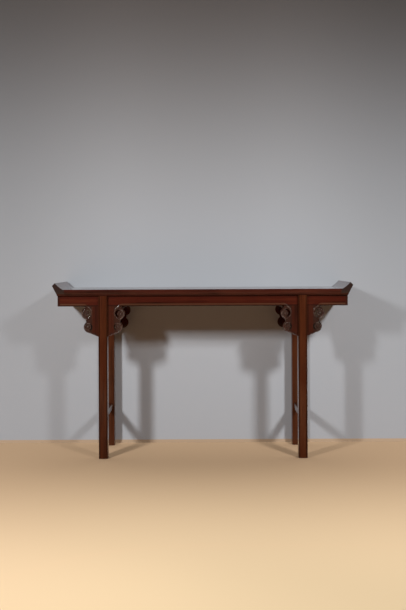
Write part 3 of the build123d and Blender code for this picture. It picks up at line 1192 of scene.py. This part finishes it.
@dataclass
class CloudCarving:
    """The outline and relief of a cloud-scroll spandrel.

    Millimetres: u runs out from the side of the leg and v runs down from the apron. A pair is a
    place or a limit in u and v, and a fade holds where it starts and where it is full.
    """

    drop: float = 144.0
    shoulder: float = 66.0
    tongue: float = 20.9
    upper: Lobe = Lobe(
        middle=(52.0, 34.0),
        radius=30.0,
        span=(-62.2, 70.0),
        steps=58,
        eye=(61.5, 36.0),
        boss=15.0,
        cut=(54.5, 34.0),
        cut_radius=18.0,
        core=(63.0, 36.0),
    )
    lower: Lobe = Lobe(
        middle=(43.0, 98.0),
        radius=28.0,
        span=(-55.0, 82.0),
        steps=56,
        eye=(50.0, 97.0),
        boss=13.0,
        cut=(45.0, 98.0),
        cut_radius=16.0,
        core=(53.0, 98.0),
    )
    top_steps: int = 59
    shoulder_steps: int = 6
    notch: Sequence[Pair] = ((60.9, 66.2), (60.3, 69.5))
    notch_steps: int = 4
    toe: Sequence[Pair] = ((33.0, 131.0), (15.0, 138.6))
    toe_steps: int = 9
    toe_rib: Sequence[Pair] = (
        (-4.0, 143.4), (0.0, 141.6), (14.0, 136.6), (28.0, 130.6), (38.0, 126.4),
    )
    toe_rib_steps: int = 8
    neck_line: Sequence[Pair] = (
        (78.0, -6.5), (70.0, -6.5), (64.0, -5.8), (58.0, -3.4), (51.5, 1.2), (45.0, 6.4),
        (39.0, 12.2), (34.8, 19.5), (32.6, 27.5), (32.8, 35.5), (35.3, 44.0),
        (40.0, 51.5), (46.5, 57.5), (53.0, 61.5), (58.5, 65.5),
    )
    rim_shift: float = 1.7
    upper_rim: tuple[int, int] = (2, 62)
    lower_rim: tuple[int, int] = (64, 118)
    hollow_depth: float = 5.0
    hollow_lip: float = 0.05
    hollow_wall: float = 1.6
    ground_depth: float = 2.6
    ground_fade: Pair = (25.0, 37.0)
    low_fade: tuple[Pair, Pair] = ((4, 20), (120, 136))
    boss_height: float = 1.5
    eye_height: float = 4.2
    eye_spread: float = 1.0
    edge_round: float = 1.3
    hole_round: float = 1.0
    spacing: float = 1.15
    plain_spacing: float = 5.0
    plain_margin: float = 3.0
    plain_to: Pair = (23.0, 122.0)
    fine_from: Pair = (25.0, 124.0)
    clearance: float = 0.55
    full_rise: float = 6.4
    # The painted highlight on ribs and lobes, and the painted shade in the carved ground.
    crest_sharpness: float = 3.6
    lobe_paleness: float = 0.24
    lobe_fade: float = 5.0
    hollow_tone: float = 0.97
    hollow_sharpness: float = 1.4
    lobe_lift: float = 0.2

    def outline(self) -> Path:
        """The cloud's edge, from the leg's side under the apron round to its foot.

        Returns:
            The points of the edge, one a row.
        """
        upper, lower = self.upper.rim(), self.lower.rim()
        notch = smooth_path((upper[-1], *self.notch, lower[0]), self.notch_steps)[1:-1]
        toe = smooth_path((lower[-1], *self.toe, (0.0, self.drop)), self.toe_steps)[1:]
        drops = np.linspace(0, upper[0][1], self.shoulder_steps)[:-1]
        shoulder = [(self.shoulder, v) for v in drops]
        return np.vstack((shoulder, upper, notch, lower, toe))

    def neck(self) -> Ridge:
        """The rib that the apron's bead turns into, down round the pierced crescent."""
        return Ridge(smooth_path(self.neck_line), width=(6.5, 2.0), height=(3.5, 2.0))

    def ridges(self) -> list[Ridge]:
        """Every rib of the carving.

        Returns:
            The neck, the scroll of each lobe, and a rim along each lobe's edge.
        """
        rim = shifted(self.outline(), -self.rim_shift)
        lower = np.vstack((smooth_path(self.toe_rib, self.toe_rib_steps), self.lower.scroll()))
        return [
            self.neck(),
            Ridge(self.upper.scroll(), width=(3.2, 2.4), height=(3.4, 3.2)),
            Ridge(lower, width=(3.1, 2.4), height=(3.2, 3.2)),
            Ridge(rim[slice(*self.upper_rim)], width=(1.6, 2.0), height=(1.6, 2.4)),
            Ridge(rim[slice(*self.lower_rim)], width=(2.0, 1.8), height=(2.4, 2.0)),
        ]

    def relief(self, points: Path) -> tuple[np.ndarray, np.ndarray, np.ndarray]:
        """The carved face.

        Args:
            points: Places in u and v, one a row.

        Returns:
            At each place, its height above the plain face, how much painted highlight it
            carries, and how much dust and painted shade.
        """
        across, down = points.T
        low_across, low_down = self.low_fade
        low = fade(down, *low_down) * fade(across, *low_across)
        carved = np.maximum(fade(across, *self.ground_fade), low)
        lobes = (self.upper, self.lower)
        ground = -self.ground_depth * carved
        for lobe in lobes:
            ground += self.boss_height * bulge(distance(points, lobe.eye), lobe.boss)
        height = ground
        for ridge in self.ridges():
            height = ridge.crest(points, height)
        near_core = np.zeros(len(points))
        for lobe in lobes:
            dome = bulge(distance(points, lobe.eye), lobe.eye_radius + self.eye_spread)
            height = np.maximum(height, self.eye_height * np.sqrt(dome))
            away = distance(points, lobe.core) - lobe.core_radius
            near_core = np.maximum(near_core, 1 - fade(away, 0, self.lobe_fade))
        raised = np.clip((height - ground) / self.full_rise, 0, 1)
        height = height - rounding(nearest(points, self.outline())[0], self.edge_round)
        # Painted highlight on the ribs and the lobes' cores; painted shade with dust in the carved
        # ground, less in the lobes.
        crest = np.maximum(raised**self.crest_sharpness, self.lobe_paleness * near_core)
        shade = self.hollow_tone - self.lobe_lift * near_core
        return height, crest, carved * (1 - raised) ** self.hollow_sharpness * shade


@dataclass(frozen=True)
class CarvedBoard:
    """A board's vertices in metres, how strong each tone is there, and its faces."""

    vertices: list[Vector]
    shades: dict[Tone, np.ndarray]
    faces: list[tuple[int, ...]]


@dataclass
class Spandrels:
    """The cloud-scroll boards beside the legs."""

    places: Places
    carving: CloudCarving = field(default_factory=CloudCarving)

    def grid(self, edges: Sequence[Path], outline: Path, hole: Path) -> Path:
        """Places across the face: close together in the carving, far apart where it is plain.

        Args:
            edges: Lines that the places keep clear of.
            outline: The board's outline.
            hole: The outline that is cut through it.

        Returns:
            The places, one a row.
        """
        c = self.carving
        low, high = outline.min(0), outline.max(0)
        rows = []
        v = low[1] + c.spacing
        while v < high[1]:
            start = low[0] + c.spacing * (0.5 + 0.5 * (len(rows) % 2))
            u = np.arange(start, high[0], c.spacing)
            rows.append(np.column_stack((u, np.full_like(u, v))))
            v += c.spacing * TRIANGULAR
        fine = np.vstack(rows)
        fine = fine[(fine > c.fine_from).any(1)]
        u, v = np.meshgrid(
            np.arange(low[0] + c.plain_margin, c.plain_to[0], c.plain_spacing),
            np.arange(c.plain_margin, c.plain_to[1], c.plain_spacing),
        )
        spots = np.vstack((fine, np.column_stack((u.ravel(), v.ravel()))))
        spots = spots[inside(spots, outline)]
        spots = spots[~inside(spots, hole)]
        for edge in edges:
            spots = spots[nearest(spots, edge)[0] > c.clearance * c.spacing]
        return spots

    def face(self) -> tuple[Path, list[np.ndarray], list[tuple[int, ...]]]:
        """Divides the carved face into triangles.

        Returns:
            The places, their heights, their painted highlight and painted shade, and the
            triangles.
        """
        c = self.carving
        tongue = [(-c.tongue, c.drop), (-c.tongue, 0.0)]
        top = [(u, 0.0) for u in np.linspace(-c.tongue, c.shoulder, c.top_steps + 1)[1:-1]]
        outline = np.vstack((c.outline(), tongue, top))
        hole, hollow = c.upper.crescent(), c.lower.crescent()
        rings = [outline, hole, hollow]
        closed = [np.vstack((ring, ring[:1])) for ring in rings]
        places = np.vstack((*rings, self.grid(closed, outline, hole)))
        links = []
        for ring in rings:
            start, count = len(links), len(ring)
            links += [(start + i, start + (i + 1) % count) for i in range(count)]
        knots = [Vector(place) for place in places]
        found, _, triangles, *_ = delaunay_2d_cdt(knots, links, [], 0, GRID_MERGE)
        found = np.array([tuple(q) for q in found])
        middles = np.array([found[list(t)].mean(0) for t in triangles])
        solid = inside(middles, outline) & ~inside(middles, hole)
        heights, crests, shadows = c.relief(found)
        gap, _ = nearest(found, closed[2])
        sunk = inside(found, hollow) & (gap > c.hollow_lip)
        sinking = c.hollow_depth * fade(gap, 0.0, c.hollow_wall)
        heights = np.where(sunk, heights - sinking, heights)
        heights -= rounding(nearest(found, closed[1])[0], c.hole_round)
        # The sunk crescent carries full painted shade and no highlight.
        tones = [np.where(sunk, 0.0, crests), np.where(sunk, 1.0, shadows)]
        return found, [heights, *tones], [tuple(t) for t, keep in zip(triangles, solid) if keep]

    def board(self) -> CarvedBoard:
        """The whole outer board at the back right leg.

        Returns:
            The board.
        """
        places, (heights, *tones), triangles = self.face()
        left = self.places.leg_x[1]
        inner, outer = self.places.apron_y
        top = self.places.apron_low
        count = len(places)
        spots = zip(*places.T, heights)
        front = [Vector((left + u * MM, outer + h * MM, top - v * MM)) for u, v, h in spots]
        back = [Vector((place.x, inner, place.z)) for place in front]
        faces = triangles + [tuple(i + count for i in reversed(t)) for t in triangles]
        edges = dict.fromkeys(e for a, b, c in triangles for e in ((a, b), (b, c), (c, a)))
        faces += [(b, a, a + count, b + count) for a, b in edges if (b, a) not in edges]
        shades = {tone: np.append(face, np.zeros(count)) for tone, face in zip(Tone, tones)}
        return CarvedBoard(front + back, shades, faces)

    def make(self, quarter: Quarter, side: Side, board: CarvedBoard) -> None:
        """Places one spandrel.

        Args:
            quarter: The leg that it stands beside.
            side: Which side of the leg.
            board: The outer board at the back right leg.
        """
        middle = sum(self.places.leg_x) / 2
        draft = Draft()
        places = board.vertices
        if side is Side.INNER:
            places = [(2 * middle - place.x, place.y, place.z) for place in places]
        made = draft.corners(places)
        for tone, shades in board.shades.items():
            draft.tint(tone, made, shades)
        for face in board.faces:
            draft.mesh.faces.new([made[i] for i in face])
        loose = [v for v in draft.mesh.verts if not v.link_faces]
        bmesh.ops.delete(draft.mesh, geom=loose, context="VERTS")
        node = f"{quarter.label}_{side.label}_spandrel"
        draft.piece(node, CARVED_LACQUER, Grain.UPRIGHT, quarter.value)

    def build(self) -> None:
        """Builds all eight spandrels from one carved board."""
        board = self.board()
        for quarter in Quarter:
            for side in Side:
                self.make(quarter, side, board)


# ---- Aprons -------------------------------------------------------------------------------


@dataclass
class Aprons:
    """The long aprons with their beads, and the boards that close the ends.

    The sizes of the bead are in millimetres.
    """

    places: Places
    carving: CloudCarving = field(default_factory=CloudCarving)
    bead_height: float = 13.0
    bead_proud: float = 3.5
    bead_rows: int = 18
    # The strength and spread of the painted highlight on the bead and of the painted shade under
    # it.
    bead_full: float = 0.6
    bead_pale: float = 0.8
    dark_edge: float = 4.5
    dark_reach: float = 1.6
    wide_stations: Sequence[float] = (0.0, 120.0, 240.0)
    turn_stations: Triple = (36.0, 82.0, 1.4)
    straight_from: float = 76.0
    edge: float = 0.6 * MM
    sharp: float = 50.0
    end_edge: float = 1.8 * MM
    end_steps: int = 4

    def stations(self) -> np.ndarray:
        """Where sections are cut along half an apron, close together where the bead turns.

        Returns:
            The distances from the middle of the table.
        """
        near, far = (x / MM for x in self.places.leg_x)
        turn = np.arange(*self.turn_stations)
        last = self.places.end_apron_x[0] / MM
        spans = (self.wide_stations, near - turn[::-1], (near, far), far + turn, (last,))
        return np.concatenate(spans) * MM

    def swell(self, x: float, drops: np.ndarray) -> np.ndarray:
        """The height of the bead across the face of an apron at one station.

        Args:
            x: The station, from the middle of the table.
            drops: Places down the face in millimetres, 0 at the lower edge and negative above.

        Returns:
            The height at each place in millimetres.
        """
        near, far = self.places.leg_x
        away = max(near - x, x - far) / MM
        half = self.bead_height / 2
        if away > self.straight_from:
            return self.bead_proud * np.sqrt(bulge(drops + half, half))
        points = np.column_stack((np.full_like(drops, away), drops))
        return self.carving.neck().crest(points, np.zeros_like(drops))

    def make_long(self, face: Face) -> None:
        """Builds a long apron.

        Args:
            face: The side that it runs along.
        """
        p = self.places
        inner, outer = p.apron_y
        turn = np.linspace(0, math.pi, self.bead_rows + 1)
        drops = -self.bead_height / 2 * (1 - np.cos(turn))
        half = self.stations()
        rings = []
        for x in np.concatenate((-half[:0:-1], half)):
            rise = self.swell(abs(x), drops)
            bead = [(x, outer + h * MM, p.apron_low - d * MM) for h, d in zip(rise, drops)]
            top = [(x, outer, p.underside), (x, inner, p.underside)]
            rings.append([(x, inner, p.apron_low), *bead, *top])
        draft = Draft()
        draft.loft(rings)
        # Painted highlight on the bead and painted shade under it.
        draft.shade(Tone.CREST, self.bead_paleness)
        draft.shade(Tone.HOLLOW, self.bead_shadow)
        node = f"{face.label}_apron"
        draft.piece(node, APRON_LACQUER, Grain.LENGTHWISE, face.value)

    def bead_paleness(self, place: Vector) -> float:
        """Paints a highlight on the bead where it stands proud, with some rubbed wear, less
        towards its lower edge.
        """
        proud = (place.y - self.places.apron_y[1]) / (self.bead_full * self.bead_proud * MM)
        return self.bead_pale * min(max(proud, 0.0), 1.0) * (1 - self.bead_shadow(place))

    def bead_shadow(self, place: Vector) -> float:
        """Paints shade on the lower edge of the bead, where it turns under."""
        height = (place.z - self.places.apron_low) / (self.dark_edge * MM)
        return min(max(self.dark_reach - height, 0.0), 1.0)

    def make_end(self, end: End) -> None:
        """Builds the board that closes one end.

        Args:
            end: The end that it closes.
        """
        p = self.places
        inner, outer = p.end_apron_x
        half, r = p.apron_y[1], self.end_edge
        section = [(inner, -half), (outer - r, -half)]
        section += arc((outer - r, -half + r), r, -90, 0, self.end_steps)[1:]
        section += arc((outer - r, half - r), r, 0, 90, self.end_steps)
        section.append((inner, half))
        draft = Draft()
        draft.loft([[(x, y, z) for x, y in section] for z in (p.apron_low, p.underside)])
        draft.soften(self.edge, self.sharp)
        node = f"{end.label}_end_apron"
        draft.piece(node, APRON_LACQUER, Grain.CROSSWISE, end.value)

    def build(self) -> None:
        """Builds all four aprons."""
        for face in Face:
            self.make_long(face)
        for end in End:
            self.make_end(end)


# ---- Hidden joinery -----------------------------------------------------------------------


@dataclass
class HiddenJoinery:
    """The battens under the panel and the pins in the joints, which keep the frame's shapes."""

    batten_count: int = 4

    def build(self) -> None:
        """Dresses the nodes in bare wood."""
        nodes = [(f"batten_{i + 1}", Grain.CROSSWISE) for i in range(self.batten_count)]
        nodes += [("stretcher_pins", Grain.LENGTHWISE), ("corner_pins", Grain.UPRIGHT)]
        for name, grain in nodes:
            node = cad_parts[name]
            node.data.materials.clear()
            node.data.materials.append(BARE_WOOD.material(grain))
            LOG.info("%s keeps its shape", name)


# ---- Studio -------------------------------------------------------------------------------


@dataclass(frozen=True)
class Lamp:
    """A soft square lamp: its place, the way it shines, its power and its spread in degrees."""

    name: str
    place: Triple
    aim: Triple
    watts: float
    spread: float
    size: float = 0.40

    def hang(self) -> None:
        """Hangs the lamp."""
        data = bpy.data.lights.new(self.name, "AREA")
        data.shape = "SQUARE"
        data.size = self.size
        data.energy = self.watts
        data.spread = math.radians(self.spread)
        lamp = put_in_scene(self.name, data)
        lamp.location = self.place
        lamp.rotation_euler = Vector(self.aim).to_track_quat("-Z", "Y").to_euler()


@dataclass
class Studio:
    """The floor, the lamps, the surroundings and the camera.

    Colours are linear and lengths are in metres. A pair of places holds where a colour starts
    to change and where it has changed.
    """

    wall_y: float = 0.205
    wall_width: float = 12.0
    wall_height: float = 4.5
    # The wall's paint darkens upwards and towards the sides as painted shade.
    wall_low: Colour = (0.485, 0.512, 0.548)
    wall_high: Colour = (0.140, 0.129, 0.125)
    wall_fade: Pair = (0.75, 2.5)
    side_shade: Colour = (0.68, 0.68, 0.68)
    side_fade: Pair = (0.30, 1.15)
    side_rise: Pair = (-0.6, 1.2)
    skirting: float = 16 * MM
    skirting_proud: float = 6 * MM
    skirting_paint: Colour = (0.56, 0.42, 0.29)
    floor_size: float = 60.0
    # The floor is painted darker towards the wall as painted shade, and its near part carries a
    # painted glow.
    floor_near: Colour = (0.72, 0.51, 0.32)
    floor_far: Colour = (0.56, 0.38, 0.235)
    floor_glow: Colour = (0.47, 0.375, 0.23)
    floor_bounce: Colour = (0.68, 0.58, 0.54)
    floor_fade: Pair = (-2.2, -0.2)
    glow_start: Pair = (-3.0, -2.2)
    glow_middle: float = 0.25
    glow_reach: Pair = (1.8, 0.3)
    backdrop: Colour = (0.365, 0.360, 0.368)
    backdrop_top: Colour = (0.185, 0.172, 0.166)
    backdrop_rise: Pair = (0.0, 0.26)
    room_turn: Pair = (-0.10, 0.30)
    mirrored_front: Colour = (0.12, 0.12, 0.125)
    mirrored_behind: Colour = (0.38, 0.38, 0.39)
    ambient_front: Colour = (0.01, 0.01, 0.01)
    ambient_behind: Colour = (0.85, 0.85, 0.85)
    lamps: Sequence[Lamp] = (
        Lamp("left_lamp", (-1.81, -2.86, 1.92), (-0.40, 0.85, -0.35), watts=114.0, spread=180.0),
        Lamp("right_lamp", (1.96, -3.22, 2.47), (-0.08, 0.89, -0.46), watts=27.0, spread=80.0),
    )
    camera_place: Triple = (0.013, -4.38, 0.928)
    camera_roll: float = 0.25
    lens: float = 52.5
    shift: Pair = (-0.0037, -0.0705)

    def make_sheet(self, name: str, width: float, near: Pair, far: Pair) -> Recipe:
        """Makes a flat sheet of the stage.

        Args:
            name: The sheet's name.
            width: Its width.
            near: The Y and Z of its nearer or lower edge.
            far: The Y and Z of its other edge.

        Returns:
            The empty recipe of its paint.
        """
        half = width / 2
        corners = [(-half, *near), (half, *near), (half, *far), (-half, *far)]
        data = bpy.data.meshes.new(name)
        data.from_pydata(corners, [], [(0, 1, 2, 3)])
        sheet = put_in_scene(name, data)
        material = bpy.data.materials.new(name + "_paint")
        data.materials.append(material)
        return Recipe(material)

    def make_floor(self) -> None:
        """Lays the pale floor, which keeps the table's shadow; its paint darkens towards the wall
        as painted shade and its near part carries a painted glow.
        """
        reach = self.floor_size / 2
        recipe = self.make_sheet("floor", self.floor_size, (-reach, 0), (reach, 0))
        where = recipe.axes()
        # Painted shade: the floor darkens towards the wall.
        depth = recipe.ramp(where["Y"], *self.floor_fade)
        colour = recipe.blend(depth, self.floor_near, self.floor_far)
        colour = recipe.blend(recipe.rays("Diffuse"), colour, self.floor_bounce, "MULTIPLY")
        paint = recipe.add("BsdfDiffuse", {"Color": colour})
        # Painted glow on the near floor, for seen rays only.
        near = recipe.maths("SUBTRACT", recipe.ramp(where["Y"], *self.glow_start), depth)
        aside = recipe.maths("SUBTRACT", where["X"], self.glow_middle)
        middle = recipe.ramp(recipe.maths("ABSOLUTE", aside), *self.glow_reach)
        near = recipe.maths("MULTIPLY", near, middle, clamp=True)
        strength = recipe.times(near, recipe.rays(*SEEN))
        glow = recipe.add("Emission", {"Color": self.floor_glow, "Strength": strength})
        recipe.show(recipe.add("AddShader", {0: paint.outputs[0], 1: glow.outputs[0]}))

    def make_wall(self) -> None:
        """Stands a one-sided backdrop behind the table that catches its shadow; its paint darkens
        upwards and towards the sides as painted shade.

        Lamplight and diffuse light pass through it, so that the back of the table is lit as
        evenly as the rest.
        """
        foot, top = (self.wall_y, 0), (self.wall_y, self.wall_height)
        recipe = self.make_sheet("backdrop", self.wall_width, foot, top)
        where = recipe.axes()
        # Painted shade: darker upwards and towards the sides.
        height = recipe.ramp(where["Z"], *self.wall_fade)
        colour = recipe.blend(height, self.wall_low, self.wall_high)
        aside = recipe.ramp(recipe.maths("ABSOLUTE", where["X"]), *self.side_fade)
        aside = recipe.times(aside, recipe.ramp(where["Z"], *self.side_rise))
        colour = recipe.blend(aside, colour, self.side_shade, "MULTIPLY")
        self.paint_one_side(recipe, colour)

    def make_skirting(self) -> None:
        """Runs a low strip of floor wood along the foot of the backdrop."""
        y = self.wall_y - self.skirting_proud
        recipe = self.make_sheet("skirting", self.wall_width, (y, 0), (y, self.skirting))
        self.paint_one_side(recipe, self.skirting_paint)

    def paint_one_side(self, recipe: Recipe, colour: Any) -> None:
        """Paints the front of a sheet only, and lets every light pass through it.

        Args:
            recipe: The sheet's recipe.
            colour: The paint's colour, or its socket.
        """
        paint = recipe.add("BsdfDiffuse", {"Color": colour})
        front = recipe.maths("SUBTRACT", 1.0, recipe.add("NewGeometry").outputs["Backfacing"])
        share = recipe.times(recipe.rays(*SEEN), front)
        clear = recipe.add("BsdfTransparent")
        inputs = {0: share, 1: clear.outputs[0], 2: paint.outputs[0]}
        recipe.show(recipe.add("MixShader", inputs))

    def make_surroundings(self) -> None:
        """Surrounds the scene with a pale backdrop behind the table and a dim room before it."""
        world = bpy.data.worlds.new("studio")
        bpy.context.scene.world = world
        recipe = Recipe(world)
        way = recipe.axes("Generated")
        # Painted shade: the backdrop seen by the camera darkens upwards.
        height = recipe.ramp(way["Z"], *self.backdrop_rise)
        backdrop = recipe.blend(height, self.backdrop, self.backdrop_top)
        behind = recipe.ramp(way["Y"], *self.room_turn)
        mirrored = recipe.blend(behind, self.mirrored_front, self.mirrored_behind)
        ambient = recipe.blend(behind, self.ambient_front, self.ambient_behind)
        unseen = recipe.blend(recipe.rays("Glossy", "Transmission"), ambient, mirrored)
        colour = recipe.blend(recipe.rays("Camera"), unseen, backdrop)
        recipe.show(recipe.add("Background", {"Color": colour, "Strength": 1.0}), "World")

    def make_camera(self) -> None:
        """Sets the camera level, at standing height before the table."""
        data = bpy.data.cameras.new("camera")
        data.lens = self.lens
        data.shift_x, data.shift_y = self.shift
        camera = put_in_scene("camera", data)
        camera.location = self.camera_place
        camera.rotation_euler = (math.radians(90), math.radians(self.camera_roll), 0)
        bpy.context.scene.camera = camera

    def build(self) -> None:
        """Builds the whole studio."""
        self.make_floor()
        self.make_wall()
        self.make_skirting()
        for lamp in self.lamps:
            lamp.hang()
        self.make_surroundings()
        self.make_camera()
        bpy.context.scene.view_settings.view_transform = "Standard"


def main() -> None:
    """Builds each sub-assembly in order."""
    logging.basicConfig(level=logging.INFO, format="%(name)s: %(message)s")
    places = Places.from_frame()
    for assembly in (
        FramedTop(places),
        Aprons(places),
        LegPair(places),
        Spandrels(places),
        HiddenJoinery(),
        Studio(),
    ):
        assembly.build()


if __name__ == "__main__":
    main()
